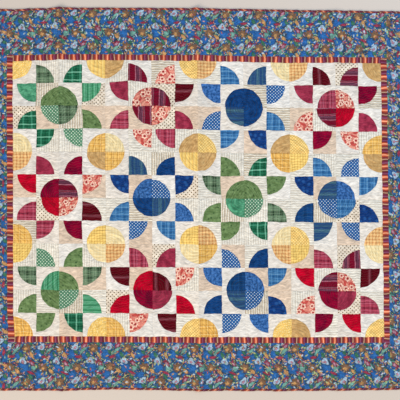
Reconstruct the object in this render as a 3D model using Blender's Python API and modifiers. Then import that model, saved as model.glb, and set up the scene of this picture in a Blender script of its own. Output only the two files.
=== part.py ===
"""A patchwork quilt laid out flat: a pieced field, a striped inner border, a printed outer border
and a bias binding. Metres, +Z up, X along the long side. The origin is the quilt's middle, on the
surface that it lies on. Each piece has a flat back and is thickened upwards from it. Storage
creases cross the quilt as low ridges, which lift the cloth off that surface."""

from collections import namedtuple
from math import copysign

import bmesh
import bpy
import numpy as np

X, Y = 0, 1
Pair = namedtuple("Pair", "x y")

# Driving sizes
UNITS = Pair(16, 12)  # quarter-circle units in the field
UNIT = Pair(0.1016, 0.1009)  # quilting draws the cloth in a little more along Y
INNER_BORDER = 0.026
OUTER_BORDER = 0.2005
BINDING = 0.010
SEAM_GAP = 0.0003

# Thickness of the quilted layers
LOFT = 0.0045  # between seams
SEAM_LOFT = 0.0030  # where a seam holds the layers down
BINDING_LOFT = 0.0052  # along the middle of the binding, which folds over the quilt's edge
EDGE_LOFT = 0.0026  # along the binding's outer edge

# Half sizes of the rectangle inside each seam that runs round the quilt, and of the whole quilt
FIELD = Pair(UNITS.x * UNIT.x / 2, UNITS.y * UNIT.y / 2)
INNER = Pair(FIELD.x + INNER_BORDER, FIELD.y + INNER_BORDER)
OUTER = Pair(INNER.x + OUTER_BORDER, INNER.y + OUTER_BORDER)
EDGE = Pair(OUTER.x + BINDING, OUTER.y + BINDING)

# Storage creases: each lies at axis = place and runs right across the quilt the other way. Its
# height goes from low_end, at the negative end of its run, to high_end.
Crease = namedtuple("Crease", "axis place low_end high_end")
CREASES = (
    Crease(X, -6 * UNIT.x, 0.003, 0.008),
    Crease(X, 0.0, 0.008, 0.009),
    Crease(X, 6 * UNIT.x, 0.003, 0.003),
    Crease(Y, 4 * UNIT.y, 0.004, 0.004),
)
CREASE_SHARPNESS = 1.5  # 1 is a straight-sided ridge, more is a sharper crest with softer feet
LOW_CREASE = 0.0035  # a crease under this height needs no bends on its flanks

# The cloth lies a little out of square: X moves by this share of Y, and Y by this share of X.
SKEW = -0.0072

# How far the cloth lies off its straight lines: a row for each line, from the top edge down, with
# millimetres towards +Y at each of the places BOW_X.
BOW_X = (-1.05, -0.81, -0.60, -0.40, 0.00, 0.40, 0.70, 1.05)
BOWS = (
    (EDGE.y, (-16.0, -12.0, -3.5, -1.5, 0.0, -3.0, -4.5, -5.0)),
    (FIELD.y, (-8.0, -7.0, 0.5, 2.0, 1.5, -3.0, -0.5, -3.0)),
    (0.0, (0.0, 0.0, 0.0, 0.0, 0.0, 0.0, 0.0, 0.0)),
    (-FIELD.y, (-2.0, -2.0, -2.0, -1.5, -1.5, -1.0, 2.0, 4.0)),
    (-EDGE.y, (-4.5, -4.0, -3.5, 3.0, -1.0, 0.0, 5.0, 11.0)),
)

# Colours are linear red, green and blue
Cloth = namedtuple("Cloth", "name colour roughness")
PATCHWORK = Cloth("patchwork_cottons", (0.72, 0.62, 0.47), 0.85)
STRIPE = Cloth("cross_cut_stripe", (0.45, 0.06, 0.05), 0.85)
PRINT = Cloth("printed_cotton", (0.06, 0.13, 0.30), 0.85)
BIAS_STRIPE = Cloth("bias_stripe", (0.30, 0.05, 0.06), 0.85)


def clear_scene():
    for thing in list(bpy.data.objects):
        bpy.data.objects.remove(thing, do_unlink=True)


def cloth_material(cloth):
    material = bpy.data.materials.new(cloth.name)
    material.use_nodes = True
    shader = material.node_tree.nodes["Principled BSDF"]
    shader.inputs["Base Color"].default_value = (*cloth.colour, 1.0)
    shader.inputs["Roughness"].default_value = cloth.roughness
    shader.inputs["Metallic"].default_value = 0.0
    return material


def bow(at):
    """How far the cloth at this point lies off its straight line, towards +Y."""
    upwards = BOWS[::-1]
    shifts = [np.interp(at.x, BOW_X, row) for _, row in upwards]
    return float(np.interp(at.y, [line for line, _ in upwards], shifts)) / 1000


def crease_height(at):
    """How far the storage creases lift the cloth at this point."""
    height = 0.0
    for crease in CREASES:
        other = 1 - crease.axis
        nearness = 1 - abs(at[crease.axis] - crease.place) / (UNIT[crease.axis] / 2)
        along = (at[other] + EDGE[other]) / (2 * EDGE[other])
        crest = crease.low_end + (crease.high_end - crease.low_end) * along
        height += crest * max(0.0, nearness) ** CREASE_SHARPNESS
    return height


def bends(axis, start, end):
    """Where the cloth bends along an axis from start to end, both included: at each unit's seams
    and middle, on the flanks of the creases, and at each border's seams and middle. Every piece
    takes the same places, so neighbours meet along their whole seam."""
    places = [step * UNIT[axis] / 2 for step in range(-UNITS[axis], UNITS[axis] + 1)]
    middles = ((INNER[axis] + OUTER[axis]) / 2, (OUTER[axis] + EDGE[axis]) / 2)
    for place in (INNER[axis], OUTER[axis], *middles):
        places += [-place, place]
    for crease in CREASES:
        if crease.axis == axis and crease.high_end > LOW_CREASE:
            places += [crease.place - UNIT[axis] / 4, crease.place + UNIT[axis] / 4]
    inside = [place for place in sorted(places) if start + SEAM_GAP < place < end - SEAM_GAP]
    return [start, *inside, end]


def held_down(at, seams):
    """Whether the point lies on one of the seams, given as a pair of lists of half distances."""
    return any(abs(abs(at[axis]) - seam) < SEAM_GAP for axis in (X, Y) for seam in seams[axis])


def field_loft(at):
    """The field is held down along the seams of every unit."""
    seams = [[step * UNIT[axis] for step in range(UNITS[axis] // 2 + 1)] for axis in (X, Y)]
    return SEAM_LOFT if held_down(at, seams) else LOFT


def border_loft(at):
    """A border strip is held down along its own seams."""
    seams = [[FIELD[axis], INNER[axis], OUTER[axis]] for axis in (X, Y)]
    return SEAM_LOFT if held_down(at, seams) else LOFT


def thicken(piece, lofts):
    """Solidifies the piece upwards from its flat back, by each point's own loft."""
    thickest = max(lofts)
    group = piece.vertex_groups.new(name="loft")
    for index, loft in enumerate(lofts):
        group.add([index], loft / thickest, "REPLACE")
    layers = piece.modifiers.new("Layers", "SOLIDIFY")
    layers.thickness = thickest
    layers.offset = 1.0
    layers.vertex_group = group.name


def add_piece(name, cloth, low, high, loft, slant=lambda at: at):
    """One piece of the quilt between two corners: a grid on the cloth's bends, laid over the
    creases and thickened by loft. slant moves a point in the plane, to shape the piece's ends."""
    bends_x, bends_y = bends(X, low.x, high.x), bends(Y, low.y, high.y)
    cells = Pair(len(bends_x) - 1, len(bends_y) - 1)
    grid = bmesh.new()
    bmesh.ops.create_grid(grid, x_segments=cells.x, y_segments=cells.y, size=1.0)
    lofts = []
    for vertex in grid.verts:
        column = round((vertex.co.x + 1) / 2 * cells.x)
        row = round((vertex.co.y + 1) / 2 * cells.y)
        at = Pair(bends_x[column], bends_y[row])
        lofts.append(loft(at))
        height = crease_height(at)
        at = slant(at)
        vertex.co = (at.x + SKEW * at.y, at.y + bow(at) + SKEW * at.x, height)
    mesh = bpy.data.meshes.new(name)
    grid.to_mesh(mesh)
    grid.free()
    mesh.materials.append(cloth_material(cloth))
    piece = bpy.data.objects.new(name, mesh)
    bpy.data.collections["patchwork_quilt"].objects.link(piece)
    thicken(piece, lofts)


def add_field():
    gap = SEAM_GAP / 2
    low, high = Pair(-FIELD.x + gap, -FIELD.y + gap), Pair(FIELD.x - gap, FIELD.y - gap)
    add_piece("patchwork_field", PATCHWORK, low, high, field_loft)


def add_border(name, cloth, inside, outside):
    """Four strips between two rectangles, given by their half sizes. The side strips run the full
    height, and the top and bottom strips fit between them."""
    gap = SEAM_GAP / 2
    for side, sign in (("left", -1), ("right", 1)):
        near, far = sorted((sign * (inside.x + gap), sign * (outside.x - gap)))
        low, high = Pair(near, -outside.y + gap), Pair(far, outside.y - gap)
        add_piece(f"{name}_{side}", cloth, low, high, border_loft)
    for side, sign in (("bottom", -1), ("top", 1)):
        near, far = sorted((sign * (inside.y + gap), sign * (outside.y - gap)))
        low, high = Pair(-inside.x + gap, near), Pair(inside.x - gap, far)
        add_piece(f"{name}_{side}", cloth, low, high, border_loft)


def add_binding():
    """Four strips round the edge, mitred where they meet, and each fullest along its middle."""
    for side, axis, sign in (("left", X, -1), ("right", X, 1), ("bottom", Y, -1), ("top", Y, 1)):
        other = 1 - axis

        def outward(at, axis=axis):
            """0 at the binding's seam and 1 at the quilt's edge."""
            return (abs(at[axis]) - OUTER[axis]) / BINDING

        def loft(at):
            return float(np.interp(outward(at), (0.1, 0.5, 0.9), (SEAM_LOFT, BINDING_LOFT, EDGE_LOFT)))

        def mitre(at, other=other):
            """Moves the points at the strip's two ends onto the corner's diagonal."""
            if abs(at[other]) < OUTER[other] - SEAM_GAP:
                return at
            end = OUTER[other] + outward(at) * BINDING - SEAM_GAP
            moved = list(at)
            moved[other] = copysign(end, at[other])
            return Pair(*moved)

        low, high = [0.0, 0.0], [0.0, 0.0]
        low[axis], high[axis] = sorted((sign * (OUTER[axis] + SEAM_GAP / 2), sign * EDGE[axis]))
        low[other], high[other] = -OUTER[other], OUTER[other]
        add_piece(f"binding_{side}", BIAS_STRIPE, Pair(*low), Pair(*high), loft, mitre)


def main():
    clear_scene()
    quilt = bpy.data.collections.new("patchwork_quilt")
    bpy.context.scene.collection.children.link(quilt)
    add_field()
    add_border("inner_border", STRIPE, FIELD, INNER)
    add_border("outer_border", PRINT, INNER, OUTER)
    add_binding()


main()
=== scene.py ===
from collections import namedtuple
from math import atan2, hypot, pi

import bpy
import numpy as np
from bpy.props import FloatProperty, FloatVectorProperty, IntProperty, PointerProperty
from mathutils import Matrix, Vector


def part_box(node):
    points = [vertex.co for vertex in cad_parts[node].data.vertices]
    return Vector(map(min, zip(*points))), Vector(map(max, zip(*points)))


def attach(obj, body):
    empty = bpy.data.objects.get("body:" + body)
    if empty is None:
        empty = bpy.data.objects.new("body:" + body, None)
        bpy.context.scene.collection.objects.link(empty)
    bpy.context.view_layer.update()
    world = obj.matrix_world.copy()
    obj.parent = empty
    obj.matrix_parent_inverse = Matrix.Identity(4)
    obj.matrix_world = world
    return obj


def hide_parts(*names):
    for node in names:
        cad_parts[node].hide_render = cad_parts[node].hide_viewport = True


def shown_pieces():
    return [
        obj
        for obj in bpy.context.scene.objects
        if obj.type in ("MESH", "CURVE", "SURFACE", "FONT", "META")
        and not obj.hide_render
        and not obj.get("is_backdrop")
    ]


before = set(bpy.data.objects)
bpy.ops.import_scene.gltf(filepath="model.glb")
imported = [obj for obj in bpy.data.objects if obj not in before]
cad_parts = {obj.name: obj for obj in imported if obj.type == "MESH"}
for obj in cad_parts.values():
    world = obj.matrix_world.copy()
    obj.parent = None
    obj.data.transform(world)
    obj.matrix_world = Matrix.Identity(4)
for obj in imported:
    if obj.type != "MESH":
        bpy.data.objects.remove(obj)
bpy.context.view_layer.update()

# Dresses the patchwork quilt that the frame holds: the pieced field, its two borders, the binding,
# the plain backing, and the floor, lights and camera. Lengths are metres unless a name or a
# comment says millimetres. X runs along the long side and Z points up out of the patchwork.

bl_info = {
    "name": "Patchwork quilt",
    "version": (1, 0, 0),
    "blender": (4, 5, 0),
    "location": "3D View > Sidebar > Quilt",
    "description": "Makes a patchwork quilt with quarter-circle flowers, laid out on a floor",
    "category": "Add Mesh",
}

BODY = "root"
X, Y = 0, 1
Pair = namedtuple("Pair", "x y")

# ---------------------------------------------------------------- the quilt's plan

UNITS = Pair(16, 12)  # quarter-circle units in the field
BLOCK = 4  # units along each side of a flower block
UNIT_HEIGHT = 0.1009  # quilting draws the cloth in a little more along Y
SKEW = -0.0072  # X moves by this share of Y, and Y by this share of X

# Storage creases: each lies at axis = place, in units, and its height goes from low_end to high_end
Crease = namedtuple("Crease", "axis place low_end high_end")
CREASES = (
    Crease(X, -6, 0.003, 0.008),
    Crease(X, 0, 0.008, 0.009),
    Crease(X, 6, 0.003, 0.003),
    Crease(Y, 4, 0.004, 0.004),
)
CREASE_REACH = 0.5  # units to either side over which a crease falls away
CREASE_SHARPNESS = 1.5

# How far the cloth lies off its straight lines, in millimetres towards +Y at each of the places
# BOW_X. The rows go from the top edge down: edge, field, middle, field, edge.
BOW_X = (-1.05, -0.81, -0.60, -0.40, 0.00, 0.40, 0.70, 1.05)
BOWS = (
    (-16.0, -12.0, -3.5, -1.5, 0.0, -3.0, -4.5, -5.0),
    (-8.0, -7.0, 0.5, 2.0, 1.5, -3.0, -0.5, -3.0),
    (0.0, 0.0, 0.0, 0.0, 0.0, 0.0, 0.0, 0.0),
    (-2.0, -2.0, -2.0, -1.5, -1.5, -1.0, 2.0, 4.0),
    (-4.5, -4.0, -3.5, 3.0, -1.0, 0.0, 5.0, 11.0),
)

# Seam corners that wander, counted in units from the field's top left: millimetres right and up
Wander = namedtuple("Wander", "column row right up")
WANDERS = (
    Wander(1, 1, 2.3, 0.8),
    Wander(1, 3, 2.7, -0.9),
    Wander(3, 3, 2.2, 1.5),
    Wander(5, 1, -0.7, 12.4),
    Wander(7, 1, 3.9, -0.8),
    Wander(7, 3, 1.9, 2.8),
    Wander(9, 3, -3.1, -0.4),
    Wander(11, 3, -2.4, 1.1),
    Wander(13, 1, 2.6, 2.3),
    Wander(15, 1, 0.0, -2.7),
    Wander(15, 3, -1.0, -3.2),
    Wander(3, 7, -3.6, -0.6),
    Wander(9, 5, -3.8, -3.0),
    Wander(9, 7, -3.4, -1.8),
    Wander(11, 5, -2.9, 0.3),
    Wander(7, 11, 3.5, -0.2),
    Wander(13, 11, 3.6, 2.8),
    Wander(15, 9, 2.0, -2.8),
    Wander(0, 12, 5.9, -1.5),
)

# The corner of each unit that its quarter disc is centred on, for one block
DISC_CORNERS = (
    "nw sw se ne",
    "ne se sw nw",
    "se ne nw sw",
    "sw nw ne se",
)

TURNED_UNITS = {(5, 3): "ne"}  # sewn in the wrong way round, by column and row

# The cloth of each quarter disc, and of the ground round it. The letters are those of FABRICS, and
# a small letter is the same cloth turned a quarter round.
DISC_PLAN = (
    "1SD3 7TC2 8UE6 8Mt7",
    "JOOK ACTm LNNQ ApCB",
    "DGsO PTCA QeNu CtRA",
    "6DG4 6Cp7 2UY7 2BC4",
    "8AB7 4EN3 7OD9 5UQ7",
    "RBtC YLQY sOOO YeLu",
    "PRCm UNEL OJGS XQUY",
    "4PB5 6Qu5 8Od6 2eQ8",
    "5GO6 8pA6 4QN8 5PT6",
    "SKOs mRMC LXLU RtCM",
    "OOGk RBAR NeQY CBaP",
    "9Od1 4Cm2 9QL1 7BR2",
)
GROUND_PLAN = (
    "CVVW VWtv vWCW WCDW",
    "WTCD CVDC CCtW CCCt",
    "DPTP PPDP PCCt PVCW",
    "WVVW CvVV vCPW WPCV",
    "CCCW CVTC WVtW vVvW",
    "PvCP CPWD vPvW vPWC",
    "CDWv vtCV VTVv vTDv",
    "tCPW CPWC vVVC vWPC",
    "VVWV CPDC WPvC PCDW",
    "CCPP WPCV PWPP CVvW",
    "VvTv DCWC CCTP VCDv",
    "CCPW VWWv WWWC CvCW",
)

# ---------------------------------------------------------------- relief

MM = 0.001  # one millimetre
PATCH_SEED = 8
WAVE_COUNT = 11  # waves that make up each kind of unevenness
WAVE_PEAK = 1.5  # about how far the sum of those waves reaches, over the root of their count
CRINKLE_LENGTHS = (10, 30)  # shortest and longest of the fine wrinkles' waves, in millimetres
CRINKLE_SPREAD = 0.6  # radians by which those waves head off the Y axis
RIPPLE_LENGTHS = (60, 260)  # those of the broad ripples
RIPPLE = 0.0012  # height of the broad ripples
PUCKER_LENGTHS = (28, 110)  # those by which the seams stray in the plane
PUCKER = 0.0014  # how far they stray
SEAM_SOFTNESS = 0.006  # how far from a seam the cloth takes to rise to its full loft
STITCH_SHARPNESS = 0.6  # under 1 makes a line of stitching a narrow valley
WAVE_SPACING = 0.0112  # between the ripples of quilting on the grounds and petals
WAVE_RUN = 0.071  # length of one of those ripples
WAVE_SWING = 0.0035  # and how far it swings
CROSS_SWING = 0.6  # share of a ripple's swing that a second, shorter wave adds
CROSS_RUN = 0.37  # share of its length that this wave has
RING_SPACING = 0.0105  # between the rings of quilting on the suns and flower middles
RING_SQUASH = 0.22  # how far the rings are from round
RING_STRAY = 0.35  # share of their spacing by which they draw together and apart
RING_STRAY_RUN = 0.013  # length of radius over which they do so
SUN_PAINTED_SHADE = 0.8  # strength of the painted shade along the rings of quilting on a sun
MIDDLE_PAINTED_SHADE = 2.4  # and along those on the middle of a flower
PETAL_PAINTED_SHADE = 0.4  # and along the ripples of quilting on a petal
RIPPLE_PAINTED_SHADE = 0.5  # and on the rest
BORDER_SPACING = 0.016  # between the wavy lines along the outer border
BORDER_RUN = 0.11  # length of one of their waves
BORDER_SWING = 0.005  # and how far it swings
CUT_SPREAD = 0.4  # the patches of one cloth are cut from anywhere in this much of it
PAINTED_PUCKER_SHIFT = 7  # how far the painted pucker shading of a cloth's lightest patch is shifted from its darkest's
ARC_SPREAD = 0.022  # how far a patch's radius may be from the usual share of its unit
ARC_WOBBLE = 0.012  # share of the radius by which a pieced curve strays
STRIPED_CELL = 0.003  # size of a mesh cell on the striped border
BINDING_CELL = 0.004  # length of a mesh cell along the binding
BINDING_PUCKER = 0.10  # share of the binding's height by which it dips between stitches
BINDING_PUCKER_RUN = 0.0093  # from one of those dips to the next
BINDING_STRAY_RUN = 0.031  # length over which their spacing changes
BACK_HEIGHT = 0.0007  # of the backing over the floor, where no stitching draws it down
BACK_DIP = 0.0005  # depth of the rows of stitching in it
BACK_SWING = 0.0030  # and how far they swing

# The binding's section: share of its width from its seam outwards, and height in millimetres
BINDING_SECTION = (
    (0.00, 3.0), (0.10, 4.1), (0.28, 5.0), (0.50, 5.2), (0.70, 4.9), (0.86, 4.1), (0.96, 2.9),
    (1.00, 1.8), (0.97, 0.8), (0.88, 0.3), (0.60, 0.1), (0.30, 0.1), (0.00, 0.2),
)
USUAL_BINDING = 10  # the width, in millimetres, for which the way round the section is worked out
FOLD_SEAM = 0.0004  # from the binding's first row of points to the stitches that hold it


def linear(code):
    """A colour written as #rrggbb, as the linear red, green and blue that shaders take."""
    parts = [int(code[start : start + 2], 16) / 255 for start in (1, 3, 5)]
    return tuple(c / 12.92 if c <= 0.04045 else ((c + 0.055) / 1.055) ** 2.4 for c in parts)


def opaque(code):
    return (*linear(code), 1.0)


# ---------------------------------------------------------------- settings


def far_side(node):
    """How far a node reaches along +X."""
    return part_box(node)[1].x


def strip_width(node, inside):
    """The width of the strip between a node's far side and that of the one inside it."""
    return (far_side(node) - far_side(inside)) / (1 + abs(SKEW))


def length(name, description, default, **limits):
    return FloatProperty(
        name=name, description=description, default=default, unit="LENGTH", precision=4, **limits
    )


def dye(name, description, code):
    limits = {"size": 3, "min": 0, "max": 1}
    return FloatVectorProperty(
        name=name, description=description, default=linear(code), subtype="COLOR", **limits
    )


class QuiltSizes(bpy.types.PropertyGroup):
    """The quilt's driving sizes."""

    unit_width: length(
        "Unit width",
        "Width of one quarter-circle unit",
        (far_side("patchwork_field") - abs(SKEW) * UNITS.y * UNIT_HEIGHT / 2) / (UNITS.x / 2),
    )
    unit_height: length("Unit height", "Height of one quarter-circle unit", UNIT_HEIGHT)
    inner_border: length(
        "Inner border",
        "Width of the striped border",
        strip_width("inner_border_right", "patchwork_field"),
    )
    outer_border: length(
        "Outer border",
        "Width of the printed border",
        strip_width("outer_border_right", "inner_border_right"),
    )
    binding: length(
        "Binding", "Width of the binding", strip_width("binding_right", "outer_border_right")
    )
    arc: FloatProperty(
        name="Arc",
        description="Radius of a quarter disc, as a share of its unit",
        default=0.819,
        min=0.5,
        max=0.98,
        subtype="FACTOR",
    )
    loft: length("Loft", "Thickness of the quilt between its seams", 0.0046)
    seam_loft: length("Seam loft", "Thickness of the quilt at a seam", 0.0033)
    stitch_depth: length("Stitch depth", "Depth of a line of quilting", 0.0009)
    crinkle: length("Crinkle", "Height of the fine wrinkles", 0.0005)
    patch_steps: IntProperty(
        name="Patch steps", description="Mesh steps along a quarter disc's side", default=28, min=4,
        subtype="UNSIGNED",
    )
    ground_steps: IntProperty(
        name="Ground steps", description="Mesh steps from a disc's arc to its unit's corner",
        default=11, min=2, subtype="UNSIGNED",
    )
    border_cell: length("Border cell", "Size of a mesh cell on the printed border", 0.0042)
    backing_cell: length("Backing cell", "Size of a mesh cell on the backing", 0.0085)


class QuiltColours(bpy.types.PropertyGroup):
    """The colours of the borders, the backing and the floor."""

    print_ground: dye("Print ground", "Ground of the printed border", "#2f66a8")
    print_deep: dye("Print deep", "Outlines and shade of the printed border", "#34475e")
    print_dark_leaf: dye("Print dark leaf", "Dark leaves of the printed border", "#3c6e58")
    print_leaf: dye("Print leaf", "Sea-green leaves of the printed border", "#6c9c92")
    print_young_leaf: dye("Print young leaf", "Light leaves of the printed border", "#aab47c")
    print_crimson: dye("Print crimson", "Crimson petals of the printed border", "#96364c")
    print_rose: dye("Print rose", "Rose flowers of the printed border", "#b07e92")
    print_bark: dye("Print bark", "Brown twigs and shade of the printed border", "#80604a")
    print_fruit: dye("Print fruit", "Orange-brown fruit of the printed border", "#c0905e")
    print_gold: dye("Print gold", "Yellow flowers of the printed border", "#e2d29a")
    print_pale: dye("Print pale", "Pale flowers of the printed border", "#a9c3dc")
    backing: dye("Backing", "The plain cotton on the quilt's underside", "#e4dccb")
    floor: dye("Floor", "The floor that the quilt lies on", "#d3c6bd")


class QuiltSettings(bpy.types.PropertyGroup):
    """What a user of the quilt may change."""

    sizes: PointerProperty(name="Sizes", description="The quilt's driving sizes", type=QuiltSizes)
    colours: PointerProperty(
        name="Colours", description="The borders', backing's and floor's colours", type=QuiltColours
    )


# ---------------------------------------------------------------- the lie of the cloth

Lines = namedtuple("Lines", "field inner outer edge")


def seam_lines(sizes):
    """Half sizes of the rectangle inside each seam that runs round the quilt, and of its edge."""
    field = Pair(UNITS.x * sizes.unit_width / 2, UNITS.y * sizes.unit_height / 2)
    inner = Pair(*(half + sizes.inner_border for half in field))
    outer = Pair(*(half + sizes.outer_border for half in inner))
    edge = Pair(*(half + sizes.binding for half in outer))
    return Lines(field, inner, outer, edge)


def bow(sizes, x, y):
    """How far the cloth at each point lies off its straight line, towards +Y."""
    lines = seam_lines(sizes)
    heights = (-lines.edge.y, -lines.field.y, 0.0, lines.field.y, lines.edge.y)
    shift = np.zeros_like(x)
    for row, shares in zip(reversed(BOWS), np.eye(len(heights))):
        shift += np.interp(x, BOW_X, row) * np.interp(y, heights, shares)
    return shift * MM


def wander(sizes, x, y):
    """How far the seams wander in the plane, to the right and up."""
    field = seam_lines(sizes).field
    right, up = np.zeros_like(x), np.zeros_like(x)
    for corner in WANDERS:
        across = 1 - np.abs((x + field.x) / sizes.unit_width - corner.column)
        down = 1 - np.abs((field.y - y) / sizes.unit_height - corner.row)
        share = np.clip(across, 0, 1) * np.clip(down, 0, 1) * MM
        right += share * corner.right
        up += share * corner.up
    return right, up


def crease_height(sizes, x, y):
    """How far the storage creases lift the cloth."""
    at, unit, edge = (x, y), (sizes.unit_width, sizes.unit_height), seam_lines(sizes).edge
    height = np.zeros_like(x)
    for crease in CREASES:
        other = 1 - crease.axis
        nearness = 1 - np.abs(at[crease.axis] / unit[crease.axis] - crease.place) / CREASE_REACH
        along = (at[other] + edge[other]) / (2 * edge[other])
        crest = crease.low_end + (crease.high_end - crease.low_end) * along
        height += crest * np.clip(nearness, 0, 1) ** CREASE_SHARPNESS
    return height


def laid(sizes, x, y, height):
    """Points of the plan, at a height over the quilt's back, as they lie on the floor."""
    right, up = wander(sizes, x, y)
    z = crease_height(sizes, x, y) + height
    right += PUCKER * waves(x, y, PUCKER_LENGTHS, seed=1)
    up += PUCKER * waves(x, y, PUCKER_LENGTHS, seed=2)
    x, y = x + right, y + up
    return np.stack([x + SKEW * y, y + bow(sizes, x, y) + SKEW * x, z], axis=-1)


def waves(x, y, lengths, seed, spread=pi):
    """Unevenness from about -1 to 1, as the sum of many waves. lengths are the shortest and the
    longest of them, in millimetres, and they head within spread of the Y axis."""
    draw = np.random.default_rng(seed)
    height = np.zeros_like(x)
    for wavelength in np.geomspace(*lengths, WAVE_COUNT) * MM:
        heading, start = pi / 2 + draw.uniform(-spread, spread), draw.uniform(0, 2 * pi)
        across = x * np.cos(heading) + y * np.sin(heading)
        height += np.sin(2 * pi * across / wavelength + start)
    return height / WAVE_COUNT**0.5 / WAVE_PEAK


def quilted(sizes, x, y, seam, phase):
    """Height of the quilt's top over its back. It is held down at the seams and drawn in along the
    stitching, which runs wherever phase is a whole number."""
    fullness = 1 - np.exp(-seam / SEAM_SOFTNESS)
    valley = 1 - np.abs(np.sin(pi * phase)) ** STITCH_SHARPNESS
    loft = sizes.seam_loft + (sizes.loft - sizes.seam_loft) * fullness
    wrinkles = sizes.crinkle * waves(x, y, CRINKLE_LENGTHS, seed=7, spread=CRINKLE_SPREAD)
    ripples = RIPPLE * np.maximum(0, waves(x, y, RIPPLE_LENGTHS, seed=3))
    return loft + ripples + fullness * (wrinkles - sizes.stitch_depth * valley)


def wavy_lines(x, y, spacing, run, swing):
    """Phase of, and distance along, lines of quilting that wave from left to right."""
    cross_wave = np.sin(2 * pi * (x / CROSS_RUN + y) / run)
    wave = np.sin(2 * pi * x / run) + CROSS_SWING * cross_wave
    return (y + swing * wave) / spacing, x


# ---------------------------------------------------------------- meshes

MAPS = ("cloth", "stitching", "seams", "patches")


class Sheet:
    """Gathers grids of points into one mesh, with the maps that its cloth's shader reads:
    cloth, the place on the uncut cloth; stitching, the phase of the lines of quilting and the
    distance along them; seams, the distance to the nearest seam and the strength of the painted
    shade along the quilting and of the painted pucker shading; patches, the patch's tone, from 0
    to 1, and a shift of its painted pucker shading. All lengths are metres."""

    def __init__(self):
        self.count = 0
        self.points, self.faces, self.slots = [], [], []
        self.maps = {name: [] for name in MAPS}

    def add(self, points, slot=0, **maps):
        """Adds a grid of points, rows by columns, with a pair of values at each for every map."""
        rows, columns = points.shape[:2]
        index = np.arange(rows * columns).reshape(rows, columns) + self.count
        quads = np.stack(
            [index[:-1, :-1], index[:-1, 1:], index[1:, 1:], index[1:, :-1]], axis=-1
        ).reshape(-1, 4)
        along_row, along_column = points[0, 1] - points[0, 0], points[1, 0] - points[0, 0]
        if along_row[X] * along_column[Y] < along_row[Y] * along_column[X]:
            quads = quads[:, ::-1]
        self.points.append(points.reshape(-1, 3))
        self.faces.append(quads)
        self.slots.append(np.full(len(quads), slot))
        for name, rows_of in self.maps.items():
            first, second, _ = np.broadcast_arrays(*maps[name], points[..., 0])
            rows_of.append(np.stack([first, second], axis=-1).reshape(-1, 2))
        self.count += rows * columns

    def build(self, name, materials):
        """The mesh object, which rides on the quilt."""
        mesh = bpy.data.meshes.new(name)
        faces = np.concatenate(self.faces)
        mesh.from_pydata(np.concatenate(self.points), [], faces.tolist())
        mesh.polygons.foreach_set("material_index", np.concatenate(self.slots))
        for title, pairs in self.maps.items():
            layer = mesh.uv_layers.new(name=title)
            layer.data.foreach_set("uv", np.concatenate(pairs)[faces.ravel()].ravel())
        for material in materials:
            mesh.materials.append(material)
        mesh.shade_smooth()
        piece = put(name, mesh)
        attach(piece, BODY)
        return piece


# ---------------------------------------------------------------- shader sums


class Shade:
    """A socket in a material's nodes. Arithmetic on it adds the nodes that work it out."""

    def __init__(self, tree, socket=None):
        self.tree = tree
        self.socket = socket

    def node(self, kind, settings=(), inputs=(), output=0):
        """Adds a node: its settings first, and then the values or links of its sockets."""
        made = self.tree.nodes.new(kind)
        for name, value in dict(settings).items():
            if name == "stops":
                lay_stops(made.color_ramp, value)
            elif name == "ramp":
                made.color_ramp.interpolation = value
            else:
                setattr(made, name, value)
        for name, value in dict(inputs).items():
            if isinstance(value, Shade):
                self.tree.links.new(value.socket, made.inputs[name])
            else:
                made.inputs[name].default_value = value
        return Shade(self.tree, made.outputs[output])

    def also(self, output):
        """Another output of the same node."""
        return Shade(self.tree, self.socket.node.outputs[output])

    def math(self, operation, *values):
        return self.node("ShaderNodeMath", {"operation": operation}, enumerate(values))

    def __add__(self, other):
        return self.math("ADD", self, other)

    __radd__ = __add__

    def __sub__(self, other):
        return self.math("SUBTRACT", self, other)

    def __rsub__(self, other):
        return self.math("SUBTRACT", other, self)

    def __mul__(self, other):
        return self.math("MULTIPLY", self, other)

    __rmul__ = __mul__

    def __truediv__(self, other):
        return self.math("DIVIDE", self, other)

    def __rtruediv__(self, other):
        return self.math("DIVIDE", other, self)

    def __abs__(self):
        return self.math("ABSOLUTE", self)

    def fraction(self):
        return self.math("FRACT", self)

    def sine(self):
        return self.math("SINE", self)

    def over(self, limit):
        return self.math("GREATER_THAN", self, limit)

    def ramp(self, start, end):
        """0 up to start and 1 from end, straight between them. Start may be the larger."""
        settings = {"interpolation_type": "LINEAR", "clamp": True}
        names = {"Value": self, "From Min": start, "From Max": end}
        return self.node("ShaderNodeMapRange", settings, names)

    def mix(self, first, second):
        """The colour first where this is 0 and second where it is 1."""
        inputs = {0: self, 6: first, 7: second}
        return self.node("ShaderNodeMix", {"data_type": "RGBA"}, inputs, 2)

    def blend(self, share, other):
        """This colour, that share of the way to another."""
        inputs = {0: share, 6: self, 7: other}
        return self.node("ShaderNodeMix", {"data_type": "RGBA"}, inputs, 2)

    def dim(self, share):
        """This colour or vector times a number."""
        inputs = {"Vector": self, "Scale": share}
        return self.node("ShaderNodeVectorMath", {"operation": "SCALE"}, inputs)

    def times(self, colour):
        """A fixed colour times this number."""
        inputs = {"Vector": colour, "Scale": self}
        return self.node("ShaderNodeVectorMath", {"operation": "SCALE"}, inputs)

    def vector(self, operation, other):
        return self.node("ShaderNodeVectorMath", {"operation": operation}, {0: self, 1: other})

    def turned(self, angle):
        """This vector turned about Z."""
        settings, inputs = {"rotation_type": "Z_AXIS"}, {"Vector": self, "Angle": angle}
        return self.node("ShaderNodeVectorRotate", settings, inputs)

    def size(self):
        """The length of a vector."""
        return self.node("ShaderNodeVectorMath", {"operation": "LENGTH"}, {0: self}, 1)

    def parts(self):
        """The X and Y of a vector."""
        first = self.node("ShaderNodeSeparateXYZ", (), {0: self})
        return first, first.also(1)


def lay_stops(ramp, stops):
    """Sets a ramp's stops from pairs of a position and a colour."""
    while len(ramp.elements) < len(stops):
        ramp.elements.new(1.0)
    for element, (position, colour) in zip(ramp.elements, stops):
        element.position = position
        element.color = colour


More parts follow.
